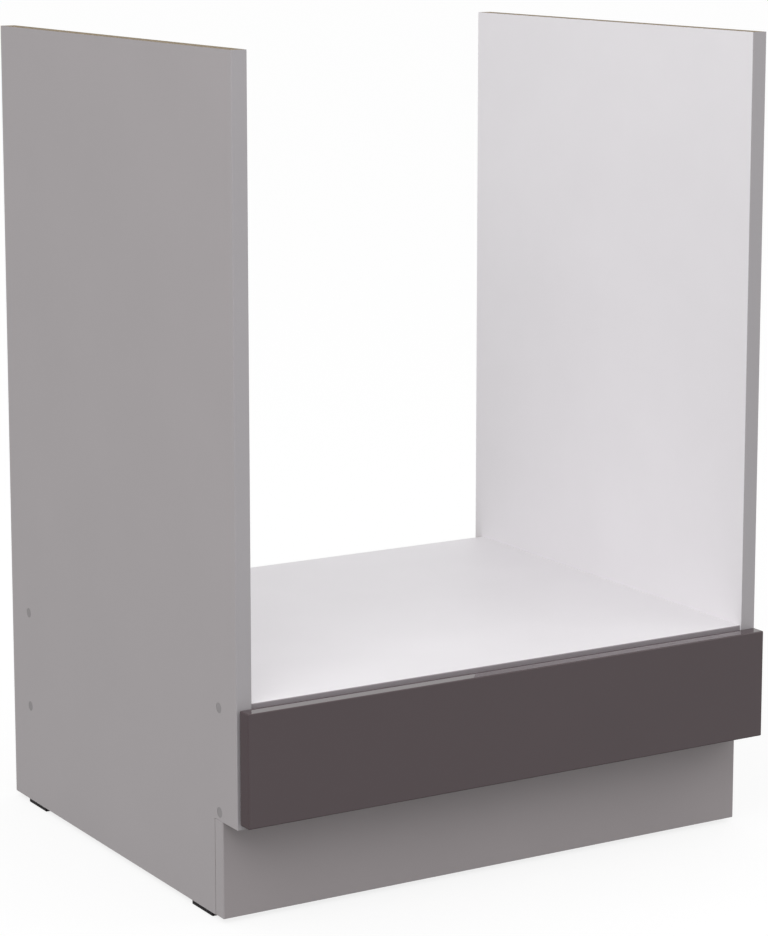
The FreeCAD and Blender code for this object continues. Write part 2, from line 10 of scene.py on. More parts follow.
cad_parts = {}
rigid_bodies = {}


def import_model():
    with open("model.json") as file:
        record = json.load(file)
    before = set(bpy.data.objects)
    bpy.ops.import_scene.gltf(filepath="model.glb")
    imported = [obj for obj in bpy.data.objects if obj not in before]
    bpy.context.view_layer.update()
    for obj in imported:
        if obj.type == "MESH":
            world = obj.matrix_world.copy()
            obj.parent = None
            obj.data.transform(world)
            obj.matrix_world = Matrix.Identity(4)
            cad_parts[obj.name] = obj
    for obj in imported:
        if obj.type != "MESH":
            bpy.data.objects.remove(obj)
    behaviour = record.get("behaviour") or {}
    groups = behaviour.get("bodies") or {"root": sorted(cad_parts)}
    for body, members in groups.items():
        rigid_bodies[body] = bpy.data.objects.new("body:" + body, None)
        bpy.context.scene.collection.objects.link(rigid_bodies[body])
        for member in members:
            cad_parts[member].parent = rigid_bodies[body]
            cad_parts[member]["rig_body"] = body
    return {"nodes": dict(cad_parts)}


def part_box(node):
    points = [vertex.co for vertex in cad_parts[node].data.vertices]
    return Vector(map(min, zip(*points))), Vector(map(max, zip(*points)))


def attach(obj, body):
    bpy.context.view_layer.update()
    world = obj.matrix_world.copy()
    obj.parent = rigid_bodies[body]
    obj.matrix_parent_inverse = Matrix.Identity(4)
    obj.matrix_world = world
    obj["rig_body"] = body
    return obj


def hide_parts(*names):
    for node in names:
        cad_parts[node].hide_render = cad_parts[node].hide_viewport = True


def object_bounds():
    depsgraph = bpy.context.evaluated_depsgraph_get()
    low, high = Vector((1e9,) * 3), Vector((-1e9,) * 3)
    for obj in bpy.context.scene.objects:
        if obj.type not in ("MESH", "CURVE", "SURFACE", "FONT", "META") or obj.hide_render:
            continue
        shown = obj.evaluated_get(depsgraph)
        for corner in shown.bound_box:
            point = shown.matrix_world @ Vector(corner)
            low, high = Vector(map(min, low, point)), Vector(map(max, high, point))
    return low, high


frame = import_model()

# Kitchen base unit for a built-in oven: the finish of its boards, drawer, runners and fastenings.
# Metres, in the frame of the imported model: X across, Y from the front to the back, Z up from the floor.

bl_info = {
    "name": "Oven base unit",
    "version": (1, 0, 0),
    "blender": (4, 5, 0),
    "location": "View3D > Sidebar > Oven unit",
    "description": "Finishes a kitchen base unit with an oven niche, a low drawer and a plinth",
    "category": "Object",
}

CAD_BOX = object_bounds()

SIDES = ("left", "right")
X_AXIS, Y_AXIS, Z_AXIS = range(3)
WHITE = (1.0, 1.0, 1.0)
FILM_SIDE = 36.0            # millimetres, the long side that the focal length is given for

# Making of the meshes
MERGE = 1e-7                # vertices nearer than this are one
ALONG = 0.99                # share of its length by which an edge runs along an axis
LEAN = 0.1                  # part of a normal past which a face looks to that side
HEAD_SHARE = 0.95           # share of the radius past which the points of a pin are its head
POINT_LENGTH = 2            # point of a nail or screw, in radii of its shank
SMOOTH_ANGLE = math.radians(35)
BEVEL_STEPS = 4
FOLD_STEPS = 5

# Heads of the turned pieces, from the middle outwards, as shares of their radius and of their height
CAP_DOME = ((0, 0), (0.45, 0.1), (0.8, 0.45), (0.95, 1), (1, 1.6))
NAIL_HEAD = ((0, 0), (0.6, 0.08), (0.9, 0.3), (1, 0.6), (1, 1))
SCREW_HEAD = ((0.74, 0), (0.92, 0.2), (1, 0.6), (1, 1))
RIVET_HEAD = ((0, 0.7), (0.26, 0.7), (0.3, 0), (0.6, 0.08), (0.9, 0.4), (1, 0.8), (1, 1))
AXLE_HEAD = ((0, 0.25), (0.3, 0.2), (0.42, 0), (0.75, 0), (0.95, 0.2), (1, 0.5), (1, 1))
BUMPER_DOME = ((0, 0), (0.4, 0.06), (0.7, 0.25), (0.92, 0.6), (1, 0.9), (1, 1))

# Cross recess of a screw, as shares of the radius and the height of its head
RECESS_ARM = 0.55
RECESS_HALF_WIDTH = 0.13
RECESS_DEPTH = 0.8

# Roller, with what lies along its radius as shares of the radius, and depths as shares of its width
HUB_WALL = 0.22
RIM_INSIDE = 0.8
WEB_DRAFT = 0.03
WEB_DEPTH = 0.25
ROLLER_RIM = ((RIM_INSIDE, 0.04), (0.93, 0.04), (0.98, 0.09), (1, 0.18))
ROLLER_STEPS = 2            # steps round a roller, to each step round a smaller turned piece

# Finishes of the drawer front, in their order on the piece
FRONT_FACE, FRONT_BACK, FRONT_ENDS = range(3)

# Sockets of a Mix node for colours
MIX_FACTOR, MIX_A, MIX_B, MIX_RESULT = 0, 6, 7, 2

# Sizes of the patterns in the finishes
PEARL_GRAIN = 0.0007        # fine pearl of melamine
CHIP_LENGTH = 0.0036
CHIP_THICKNESS = 0.0008
DUST_GRAIN = 0.0005
STREAK_LENGTH = 0.03        # drawn streaks of the edging
STREAK_WIDTH = 0.0006
LACQUER_WAVE = 0.007        # orange peel of the lacquer
COATING_GRAIN = 0.0009
ZINC_SPANGLE = 0.0016
MOULD_GRAIN = 0.0005
NYLON_FLOW = 0.003
BUMPER_HAZE = 0.0015
FIBRE_LENGTH = 0.006
FIBRE_WIDTH = 0.0007
BEECH_GRAIN = 0.02
BEECH_RING = 0.0014

# Patches over which a tone drifts
BOARD_PATCH = 0.11
PLASTIC_PATCH = 0.012
COATING_PATCH = 0.03
NYLON_PATCH = 0.004
BUMPER_PATCH = 0.002

# Each finish has tones, as shares of its colour, a range of roughness and a height of its relief
Look = namedtuple("Look", "tones roughness relief")
MELAMINE = Look((0.97, 1.03), (0.40, 0.56), 0.00004)
EDGING = Look((0.97, 1.03), (0.34, 0.46), 0.00002)
LACQUER = Look((0.95, 1.05), (0.30, 0.38), 0.00002)
HARDBOARD = Look((0.6, 1.0, 1.5), (0.75, 0.90), 0.00008)
GREY_PLASTIC = Look((0.88, 1.12), (0.45, 0.60), 0.00006)
BLACK_PLASTIC = Look((0.88, 1.12), (0.50, 0.65), 0.00006)
COATING = Look((0.96, 1.04), (0.34, 0.48), 0.00005)
ZINC = Look((0.92, 1.06), (0.28, 0.38), 0.00002)
NYLON = Look((0.95, 1.05), (0.36, 0.50), 0.00003)
BEECH = Look((0.75, 1.25), (0.55, 0.75), 0.0001)
BUMPER = Look((0.95, 1.05), (0.18, 0.38), 0.0)

# Raw chipboard: pairs are for the core and for the fine layers by the faces
FINE_LAYERS = 0.7           # share of half the thickness past which the layers are fine
CHIP_SHARE = (1.0, 0.25)
DUST_SHARE = (0.3, 0.75)
LARGE_CHIPS = 0.55          # share of large chips, with slivers among them
SLIVERS = 2.3               # slivers to the length of a large chip
GAP_SHADE = 0.3             # painted shade in the gaps between chips, which also sinks them in the relief
CHIP_STOPS = (0.12, 0.5, 0.9)
MIDDLE_CHIP = 0.62          # tone between the dark and the light chips, as a share of the light one
CHIP_RELIEF = 0.0003
SKIN_RELIEF = 0.12          # relief of the melamine skin, as a share of that of the chips
RAW_ROUGHNESS = 0.40        # roughness that a raw edge adds

# Hardboard
FIBRE_SHARE = 0.6           # share of long fibres, with specks among them
FIBRE_STOPS = (0.30, 0.52, 0.75)
PAINT_DEPTH = 0.2           # share of the thickness that is painted
PAINT_SMOOTHNESS = 0.25     # roughness that the paint takes away

# Gloss: weight and roughness of the clear coat, and specular level of the plastics
GLOSS_COAT = 1.0
SATIN_COAT = 0.1
COAT_ROUGHNESS = 0.03
GREY_PLASTIC_GLOSS = 0.4
BLACK_PLASTIC_GLOSS = 0.1

# Light inside the milky nylon and the clear bumpers
NYLON_MILK = 0.15           # share of light that spreads below the surface
NYLON_DEPTH = 0.001         # how far it spreads
BUMPER_CLEARNESS = 0.6      # share of light that passes through
BUMPER_REFRACTION = 1.42


def length(name, description, default):
    return FloatProperty(name=name, description=description, default=default, min=0.0, unit="LENGTH")


def colour(name, description, default):
    return FloatVectorProperty(name=name, description=description, default=default, size=3,
                               min=0.0, max=1.0, subtype="COLOR")


def level(name, description, default):
    return FloatProperty(name=name, description=description, default=default, min=0.0)


class UnitSizes(bpy.types.PropertyGroup):
    """Roundings, skins and sheet thicknesses of the finished pieces"""

    skin: length("Skin", "Melamine layer on the faces of a board", 0.0003)
    front_round: length("Front rounding", "Rounding of the edges of the drawer front", 0.0012)
    front_wrap: length("Front wrap", "Lacquer that turns onto the back of the drawer front", 0.003)
    band_round: length("Band rounding", "Rounding along an edge band", 0.0008)
    plinth_round: length("Plinth rounding", "Eased edges of the plinth board", 0.001)
    cap_dome: length("Cap dome", "Height of the dome of a screw cap", 0.0001)
    runner_sheet: length("Runner sheet", "Steel of the runners", 0.0012)
    side_sheet: length("Side sheet", "Steel of the drawer sides", 0.001)
    bracket_sheet: length("Bracket sheet", "Steel of the front brackets", 0.0015)
    fold_radius: length("Fold radius", "Radius of a fold at the middle of the sheet", 0.002)
    corner_radius: length("Corner radius", "Rounded corners of the front brackets", 0.005)
    roll_gap: length("Roll gap", "Gap between a front roller and the flange that rides on it", 0.0002)
    turn_steps: IntProperty(name="Turn steps", description="Steps round a turned piece", default=32, min=12)


class UnitColours(bpy.types.PropertyGroup):
    """Colours of the finishes"""

    outside: colour("Outside", "Grey melamine of the sides", (0.385, 0.358, 0.366))
    inside: colour("Inside", "White melamine of the niche and the drawer", (0.825, 0.805, 0.825))
    # Plinth: a darker copy of the grey melamine of the sides, painted shade under the overhanging drawer
    # front
    plinth: colour("Plinth", "Grey melamine of the plinth", (0.335, 0.306, 0.312))
    # Shelf: a darker copy of the white melamine of the niche, painted shade against the stronger light on
    # the shelf's top
    shelf: colour("Shelf", "White melamine of the oven shelf", (0.765, 0.746, 0.765))
    front: colour("Front", "Gloss lacquer of the drawer front", (0.062, 0.0405, 0.0455))
    # Front ends: a lighter copy of the front lacquer, painted sheen standing in for the gloss reflection of
    # the face
    front_ends_painted_sheen: colour("Front ends", "Satin lacquer of the ends of the drawer front", (0.099, 0.077, 0.082))
    band: colour("Edge band", "Grey edging of the boards", (0.40, 0.381, 0.395))
    # Shelf band: a darker copy of the grey edging, painted shade where the drawer front shades it
    shelf_band_painted_shade: colour("Shelf band", "Grey edging of the oven shelf", (0.29, 0.262, 0.278))
    caps: colour("Caps", "Grey plastic of the caps and the plinth blocks", (0.27, 0.255, 0.258))
    glides: colour("Glides", "Black plastic of the floor glides", (0.006, 0.004, 0.005))
    chip_light: colour("Light chips", "Lightest chips in a raw board edge", (0.36, 0.277, 0.168))
    chip_dark: colour("Dark chips", "Darkest chips in a raw board edge", (0.125, 0.091, 0.052))
    hardboard: colour("Hardboard", "Raw side of the back panel", (0.24, 0.145, 0.08))
    steel: colour("Coated steel", "Powder coating of the runners and drawer sides", (0.60, 0.60, 0.61))
    zinc: colour("Zinc", "Plating of the fastenings", (0.66, 0.65, 0.62))
    nylon: colour("Nylon", "Rollers", (0.80, 0.79, 0.75))
    beech: colour("Beech", "Dowels", (0.56, 0.37, 0.20))
    bumper: colour("Bumper", "Clear pads behind the drawer front", (0.82, 0.82, 0.80))


class UnitStage(bpy.types.PropertyGroup):
    """Floor, light and camera"""

    eye: FloatVectorProperty(name="Eye", description="Place of the camera", size=3, unit="LENGTH",
                             default=(-1.5604, -2.5935, 0.975))
    turn: FloatProperty(name="Turn", description="Turn of the view to the right of straight ahead",
                        default=math.radians(31.094), unit="ROTATION")
    tilt: FloatProperty(name="Tilt", description="Tilt of the view below the horizon",
                        default=math.radians(9.51), unit="ROTATION")
    lens: FloatProperty(name="Lens", description="Focal length on a 36 mm long side",
                        default=115.2, unit="CAMERA")
    shift: FloatProperty(name="Shift", description="Vertical shift of the lens", default=-0.10)
    floor_size: length("Floor", "Half of the side of the floor", 30.0)
    floor_tone: level("Floor tone", "Share of light that the floor gives back", 0.24)
    floor_glow: level("Floor glow", "Share of plain white in the floor as the eye sees it", 0.82)
    sky: level("Sky", "Strength of the even light from all round", 0.93)


# Shader nodes


class Wire:
    """An output socket. Arithmetic on it adds Math nodes."""

    def __init__(self, nodes, socket):
        self.nodes = nodes
        self.socket = socket

    def also(self, output):
        """Another output of the same node."""
        return Wire(self.nodes, self.socket.node.outputs[output])

    def math(self, operation, *values):
        return self.nodes.node("Math", {"operation": operation}, dict(enumerate(values)))

    def __add__(self, other):
        return self.math("ADD", self, other)

    def __radd__(self, other):
        return self.math("ADD", other, self)

    def __sub__(self, other):
        return self.math("SUBTRACT", self, other)

    def __rsub__(self, other):
        return self.math("SUBTRACT", other, self)

    def __mul__(self, other):
        return self.math("MULTIPLY", self, other)

    def __rmul__(self, other):
        return self.math("MULTIPLY", other, self)

    def __truediv__(self, other):
        return self.math("DIVIDE", self, other)

    def __gt__(self, other):
        return self.math("GREATER_THAN", self, other)

    def __lt__(self, other):
        return self.math("LESS_THAN", self, other)

    def __abs__(self):
        return self.math("ABSOLUTE", self)


class Nodes:
    """Builds the node tree of a material or a world anew."""

    def __init__(self, owner):
        owner.use_nodes = True
        self.owner = owner
        self.tree = owner.node_tree
        self.tree.nodes.clear()

    def node(self, kind, settings, sockets, output=0):
        """Adds a node: its settings come first, then the values or links of its sockets."""
        made = self.tree.nodes.new("ShaderNode" + kind)
        for key, value in settings.items():
            if key == "stops":
                set_stops(made.color_ramp, value)
            else:
                setattr(made, key, value)
        for key, value in sockets.items():
            if isinstance(value, Wire):
                self.tree.links.new(value.socket, made.inputs[key])
            else:
                made.inputs[key].default_value = value
        return Wire(self, made.outputs[output]) if made.outputs else None

    def place(self):
        """Object coordinates, which are metres in the frame of the part."""
        return self.node("TexCoord", {}, {}, "Object")

    def along(self, place, axis):
        return self.node("SeparateXYZ", {}, {"Vector": place}, axis)

    def scaled(self, place, sizes):
        """Coordinates in which a pattern of unit size has these sizes along X, Y and Z."""
        scale = [1 / size for size in sizes]
        return self.node("Mapping", {}, {"Vector": place, "Scale": scale})

    def noise(self, place, size, detail=2.0):
        return self.node("TexNoise", {}, {"Vector": place, "Scale": 1 / size, "Detail": detail})

    def cells(self, place, size):
        """Cells of a size, each with a colour of its own."""
        return self.node("TexVoronoi", {}, {"Vector": place, "Scale": 1 / size}, "Color")

    def tone_of(self, cells):
        """One number between 0 and 1 for each cell."""
        return self.node("SeparateColor", {}, {"Color": cells})

    def mix(self, factor, first, second):
        """A colour between two others."""
        sockets = {MIX_FACTOR: factor, MIX_A: rgba(first), MIX_B: rgba(second)}
        return self.node("Mix", {"data_type": "RGBA"}, sockets, MIX_RESULT)

    def ramp(self, value, places, colours):
        """A colour that follows a value through colours at these places."""
        return self.node("ValToRGB", {"stops": list(zip(places, colours))}, {"Fac": value}, "Color")

    def toned(self, pattern, colour, look):
        """A colour that goes from the dark to the light tone of a finish with a pattern."""
        dark, light = look.tones
        return self.mix(pattern, shade(colour, dark), shade(colour, light))

    def drifting(self, place, colour, look, patch):
        """A colour whose tone drifts over patches of a size."""
        return self.toned(self.noise(place, patch, detail=3.0), colour, look)

    def bump(self, height, distance):
        return self.node("Bump", {}, {"Height": height, "Strength": 1.0, "Distance": distance}, "Normal")

    def surface(self, sockets):
        """Ends a material in one shader, and gives the material."""
        shader = self.node("BsdfPrincipled", {}, sockets)
        self.node("OutputMaterial", {}, {"Surface": shader})
        return self.owner


def set_stops(ramp, stops):
    while len(ramp.elements) < len(stops):
        ramp.elements.new(1.0)
    for element, (position, colour) in zip(ramp.elements, stops):
        element.position = position
        element.color = rgba(colour)


def rgba(colour):
    return colour if isinstance(colour, Wire) or len(colour) == 4 else (*colour, 1.0)


def shade(colour, factor):
    return [min(1.0, part * factor) for part in colour]


def between(ends, pattern):
    """A value that goes from one end to the other as a pattern goes from 0 to 1."""
    first, last = ends
    return first + (last - first) * pattern


def new_finish(name):
    return Nodes(bpy.data.materials.get(name) or bpy.data.materials.new(name))


# Finishes


def melamine(name, colour):
    """Matt decorative paper with a fine pearl, even in tone."""
    nodes = new_finish(name)
    place = nodes.place()
    pearl = nodes.noise(place, PEARL_GRAIN)
    return nodes.surface({
        "Base Color": nodes.drifting(place, colour, MELAMINE, BOARD_PATCH),
        "Roughness": between(MELAMINE.roughness, pearl),
        "Normal": nodes.bump(pearl, MELAMINE.relief),
    })


def chips(nodes, place, axis, edge, colours):
    """Height and colour of pressed wood chips that lie flat in the board, with painted shade in the gaps
    between them.
    Edge is 1 in the fine layers by the faces."""
    sizes = [CHIP_LENGTH] * 3
    sizes[axis] = CHIP_THICKNESS
    flat = nodes.scaled(place, sizes)
    large = nodes.cells(flat, 1.0)
    slivers = nodes.cells(flat, 1 / SLIVERS)
    coarse = LARGE_CHIPS * nodes.tone_of(large) + (1 - LARGE_CHIPS) * nodes.tone_of(slivers)
    dust = nodes.noise(place, DUST_GRAIN, detail=4.0)
    # The gaps between chips get painted shade in the colour, and sink in the relief
    gaps = large.also("Distance")
    height = coarse * between(CHIP_SHARE, edge) + dust * between(DUST_SHARE, edge) - GAP_SHADE * gaps
    tones = colours.chip_dark, shade(colours.chip_light, MIDDLE_CHIP), colours.chip_light
    return height, nodes.ramp(height, CHIP_STOPS, tones)


def faced_board(name, axis, low, high, low_colour, high_colour, scene):
    """Chipboard with a melamine skin on its two faces and raw edges.
    Low and high are the distances of the faces from the middle of the unit, or from the floor."""
    nodes = new_finish(name)
    place = nodes.place()
    skin = scene.unit_sizes.skin
    across = abs(nodes.along(place, axis))
    on_low = across < low + skin
    on_high = across > high - skin
    raw = 1 - on_low - on_high
    from_middle = abs((across - (low + high) / 2) / ((high - low) / 2))
    height, wood = chips(nodes, place, axis, from_middle > FINE_LAYERS, scene.unit_colours)
    pearl = nodes.noise(place, PEARL_GRAIN)
    faced = nodes.mix(on_low, wood, nodes.drifting(place, low_colour, MELAMINE, BOARD_PATCH))
    faced = nodes.mix(on_high, faced, nodes.drifting(place, high_colour, MELAMINE, BOARD_PATCH))
    return nodes.surface({
        "Base Color": faced,
        "Roughness": between(MELAMINE.roughness, pearl) + RAW_ROUGHNESS * raw,
        "Normal": nodes.bump(SKIN_RELIEF * pearl + height * raw, CHIP_RELIEF),
    })


def edging(name, colour):
    """Smooth plastic edging, a little glossier than the boards."""
    nodes = new_finish(name)
    place = nodes.place()
    drawn = nodes.noise(nodes.scaled(place, (STREAK_WIDTH, STREAK_WIDTH, STREAK_LENGTH)), 1.0)
    return nodes.surface({
        "Base Color": nodes.drifting(place, colour, EDGING, BOARD_PATCH),
        "Roughness": between(EDGING.roughness, drawn),
        "Normal": nodes.bump(drawn, EDGING.relief),
    })


def lacquer(name, colour, coat):
    """Deep lacquer under a clear coat, with a faint orange peel."""
    nodes = new_finish(name)
    place = nodes.place()
    return nodes.surface({
        "Base Color": nodes.drifting(place, colour, LACQUER, BOARD_PATCH),
        "Roughness": between(LACQUER.roughness, nodes.noise(place, PEARL_GRAIN)),
        "Coat Weight": coat,
        "Coat Roughness": COAT_ROUGHNESS,
        "Specular IOR Level": 0.0,
        "Normal": nodes.bump(nodes.noise(place, LACQUER_WAVE), LACQUER.relief),
    })


def hardboard(colours, panel):
    """Brown fibreboard behind, painted white towards the drawer."""
    nodes = new_finish("hardboard")
    place = nodes.place()
    fibre = nodes.noise(nodes.scaled(place, (FIBRE_LENGTH, FIBRE_LENGTH, FIBRE_WIDTH)), 1.0, detail=5.0)
    specks = nodes.noise(place, DUST_GRAIN, detail=3.0)
    tones = [shade(colours.hardboard, tone) for tone in HARDBOARD.tones]
    brown = nodes.ramp(FIBRE_SHARE * fibre + (1 - FIBRE_SHARE) * specks, FIBRE_STOPS, tones)
    low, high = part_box(panel)
    painted = nodes.along(place, Y_AXIS) < low.y + PAINT_DEPTH * (high.y - low.y)
    return nodes.surface({
        "Base Color": nodes.mix(painted, brown, colours.inside),
        "Roughness": between(HARDBOARD.roughness, fibre) - PAINT_SMOOTHNESS * painted,
        "Normal": nodes.bump(fibre + specks, HARDBOARD.relief),
    })


def moulded_plastic(name, colour, look, gloss):
    """Injection-moulded plastic with a fine eroded texture."""
    nodes = new_finish(name)
    place = nodes.place()
    grain = nodes.noise(place, MOULD_GRAIN, detail=3.0)
    return nodes.surface({
        "Base Color": nodes.drifting(place, colour, look, PLASTIC_PATCH),
        "Roughness": between(look.roughness, grain),
        "Specular IOR Level": gloss,
        "Normal": nodes.bump(grain, look.relief),
    })


def grey_plastic(colours):
    return moulded_plastic("grey_plastic", colours.caps, GREY_PLASTIC, GREY_PLASTIC_GLOSS)


def black_plastic(colours):
    return moulded_plastic("black_plastic", colours.glides, BLACK_PLASTIC, BLACK_PLASTIC_GLOSS)


def coated_steel(colours):
    """Powder-coated sheet with the coating's fine orange peel."""
    nodes = new_finish("coated_steel")
    place = nodes.place()
    peel = nodes.noise(place, COATING_GRAIN)
    return nodes.surface({
        "Base Color": nodes.drifting(place, colours.steel, COATING, COATING_PATCH),
        "Roughness": between(COATING.roughness, peel),
        "Normal": nodes.bump(peel, COATING.relief),
    })


def zinc_steel(colours):
    """Zinc plating, with spangles that differ in tone and gloss."""
    nodes = new_finish("zinc_steel")
    place = nodes.place()
    spangle = nodes.tone_of(nodes.cells(place, ZINC_SPANGLE))
    return nodes.surface({
        "Base Color": nodes.toned(spangle, colours.zinc, ZINC),
        "Roughness": between(ZINC.roughness, spangle),
        "Metallic": 1.0,
        "Normal": nodes.bump(nodes.noise(place, DUST_GRAIN), ZINC.relief),
    })


def nylon(colours):
    """Milky moulded nylon."""
    nodes = new_finish("nylon")
    place = nodes.place()
    flow = nodes.noise(place, NYLON_FLOW, detail=3.0)
    return nodes.surface({
        "Base Color": nodes.drifting(place, colours.nylon, NYLON, NYLON_PATCH),
        "Roughness": between(NYLON.roughness, flow),
        "Subsurface Weight": NYLON_MILK,
        "Subsurface Scale": NYLON_DEPTH,
        "Normal": nodes.bump(flow, NYLON.relief),
    })


def beech(colours):
    """Beech with its grain along the dowels."""
    nodes = new_finish("beech")
    place = nodes.place()
    grain = nodes.noise(nodes.scaled(place, (BEECH_GRAIN, BEECH_RING, BEECH_RING)), 1.0, detail=4.0)
    return nodes.surface({
        "Base Color": nodes.toned(grain, colours.beech, BEECH),
        "Roughness": between(BEECH.roughness, grain),
        "Normal": nodes.bump(grain, BEECH.relief),
    })


def clear_bumper(colours):
    """Soft clear plastic, hazy inside and smooth outside."""
    nodes = new_finish("clear_bumper")
    place = nodes.place()
    return nodes.surface({
        "Base Color": nodes.drifting(place, colours.bumper, BUMPER, BUMPER_PATCH),
        "Roughness": between(BUMPER.roughness, nodes.noise(place, BUMPER_HAZE, detail=3.0)),
        "Transmission Weight": BUMPER_CLEARNESS,
        "IOR": BUMPER_REFRACTION,
    })


# Pieces

Pin = namedtuple("Pin", "head way length head_radius head_height shank_radius bore_radius")
Side = namedtuple("Side", "sign near far")


def side_of(node):
    """Where a piece lies: 1 on the right or -1 on the left, and its distances from the middle."""
    low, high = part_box(node)
    near, far = sorted((abs(low.x), abs(high.x)))
    return Side(1 if low.x + high.x > 0 else -1, near, far)


def corners(points):
    low = Vector([min(point[i] for point in points) for i in range(3)])
    high = Vector([max(point[i] for point in points) for i in range(3)])
    return low, high


def solids_in(node):
    """The corner points of each separate solid of a node, from a merged copy of its mesh."""
    bm = bmesh.new()
    bm.from_mesh(frame["nodes"][node].data)
    bmesh.ops.remove_doubles(bm, verts=bm.verts, dist=MERGE)
    seen = set()
    solids = []
    for start in bm.verts:
        if start in seen:
            continue
        seen.add(start)
        waiting = [start]
        points = []
        while waiting:
            vert = waiting.pop()
            points.append(vert.co.copy())
            near = [edge.other_vert(vert) for edge in vert.link_edges]
            waiting += [other for other in near if other not in seen]
            seen.update(near)
        solids.append(points)
    bm.free()
    return solids


def pin_in(points, axis=None, outward=None):
    """Place and sizes of a pin, nail, screw or disc.
    The head is the wide end, or the outward end of a disc."""
    low, high = corners(points)
    size = high - low
    centre = (low + high) / 2
    if axis is None:
        axis = max(range(3), key=lambda i: size[i])

    def radius(point):
        across = point - centre
        across[axis] = 0.0
        return across.length

    radii = [radius(point) for point in points]
    head_radius = max(radii)
    heads = [point[axis] for point, r in zip(points, radii) if r > HEAD_SHARE * head_radius]
    if outward is None:
        outward = 1 if sum(heads) / len(heads) > centre[axis] else -1
    head = centre.copy()
    head[axis] = high[axis] if outward > 0 else low[axis]
    tip = low[axis] if outward > 0 else high[axis]
    way = Vector((0, 0, 0))
    way[axis] = -outward
    shank = max(r for point, r in zip(points, radii) if abs(point[axis] - tip) < MERGE)
    return Pin(head, way, size[axis], head_radius, max(heads) - min(heads), shank, min(radii))


def box_shape(low, high):
    """A new bmesh with a box between two corners."""
    bm = bmesh.new()
    place = Matrix.Translation((low + high) / 2) @ Matrix.Diagonal((*(high - low), 1.0))
    bmesh.ops.create_cube(bm, size=1.0, matrix=place)
    return bm


def runs_along(edge, axis):
    run = edge.verts[1].co - edge.verts[0].co
    return abs(run[axis]) > ALONG * run.length


def round_off(bm, geom, radius, steps, affect="EDGES"):
    """Rounds edges, or the corners of a sheet."""
    bmesh.ops.bevel(bm, geom=geom, offset=radius, offset_type="OFFSET", affect=affect,
                    segments=steps, profile=0.5, material=-1)


def drawn_out(bm, edges, way):
    """Extrudes edges by a vector, and gives the new vertices."""
    made = bmesh.ops.extrude_edge_only(bm, edges=edges)["geom"]
    far = [part for part in made if isinstance(part, bmesh.types.BMVert)]
    bmesh.ops.translate(bm, verts=far, vec=way)
    return far


def folded_sheet(bm, path, way, fold_radius):
    """A sheet that follows a path of points and runs along a vector, with rounded folds."""
    points = [bm.verts.new(point) for point in path]
    drawn_out(bm, [bm.edges.new(pair) for pair in zip(points, points[1:])], way)
    folds = [edge for point in points[1:-1] for edge in point.link_edges if len(edge.link_faces) == 2]
    if folds:
        round_off(bm, folds, fold_radius, FOLD_STEPS)


def head_outline(shares, radius, height):
    """The outline of a head as (radius, depth) points."""
    return [(out * radius, down * height) for out, down in shares]


def pin_outline(shares, pin, end, point=0.0):
    """The outline of a pin: its head, and a shank that ends in a point of a length, or flat."""
    shank, height = pin.shank_radius, pin.head_height
    head = head_outline(shares, pin.head_radius, height)
    return head + [(shank, height), (shank, end - point), (0, end)]


def pointed_outline(shares, pin):
    """The outline of a nail or screw."""
    return pin_outline(shares, pin, pin.length, POINT_LENGTH * pin.shank_radius)


def turn(bm, outline, steps, closed=False):
    """Spins an outline of (radius, depth) points round Z, and gives the new vertices."""
    old = set(bm.verts)
    points = [bm.verts.new((radius, 0.0, depth)) for radius, depth in outline]
    edges = [bm.edges.new(pair) for pair in zip(points, points[1:])]
    if closed:
        edges.append(bm.edges.new((points[-1], points[0])))
    bmesh.ops.spin(bm, geom=points + edges, cent=(0, 0, 0), axis=(0, 0, 1), dvec=(0, 0, 0),
                   angle=2 * math.pi, steps=steps, use_merge=True)
    made = [vert for vert in bm.verts if vert not in old]
    bmesh.ops.remove_doubles(bm, verts=made, dist=MERGE)
    return [vert for vert in bm.verts if vert not in old]


def set_in_place(bm, verts, pin):
    """Moves a shape made along Z to its pin, with Z along the way into the board."""
    turned = pin.way.to_track_quat("Z", "Y").to_matrix().to_4x4()
    bmesh.ops.transform(bm, matrix=Matrix.Translation(pin.head) @ turned, verts=verts)


def cross_recess(bm, verts, arm, half_width, depth):
    """Closes the open head of a screw with a flat that has a cross recess in it."""
    rim = [edge for edge in {e for v in verts for e in v.link_edges} if edge.is_boundary]
    quarter = [(arm, -half_width), (arm, half_width), (half_width, half_width)]
    outline = []
    for i in range(4):
        spun = Matrix.Rotation(i * math.pi / 2, 2)
        outline += [bm.verts.new((*(spun @ Vector(point)), 0.0)) for point in quarter]
    cross = [bm.edges.new(pair) for pair in zip(outline, outline[1:] + outline[:1])]
    bmesh.ops.triangle_fill(bm, edges=rim + cross, use_beauty=True)
    floor = drawn_out(bm, cross, (0, 0, depth))
    bmesh.ops.contextual_create(bm, geom=floor)
    return outline + floor


def new_piece(bm, node, slot, *finishes):
    """Makes a finished piece that stands for a node and moves with the node's body."""
    name = node + "_finished"
    old = bpy.data.objects.get(name)
    if old:
        bpy.data.objects.remove(old)
    bmesh.ops.recalc_face_normals(bm, faces=bm.faces)
    mesh = bpy.data.meshes.new(name)
    bm.to_mesh(mesh)
    bm.free()
    for finish in finishes:
        mesh.materials.append(finish)
    mesh.shade_smooth()
    mesh.set_sharp_from_angle(angle=SMOOTH_ANGLE)
    piece = bpy.data.objects.new(name, mesh)
    bpy.context.scene.collection.objects.link(piece)
    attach(piece, frame["nodes"][node]["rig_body"])
    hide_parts(node)
    return piece


def keep_flat(piece):
    """Keeps the large faces of a rounded piece flat in shading."""
    modifier = piece.modifiers.new("flat_faces", "WEIGHTED_NORMAL")
    modifier.keep_sharp = True


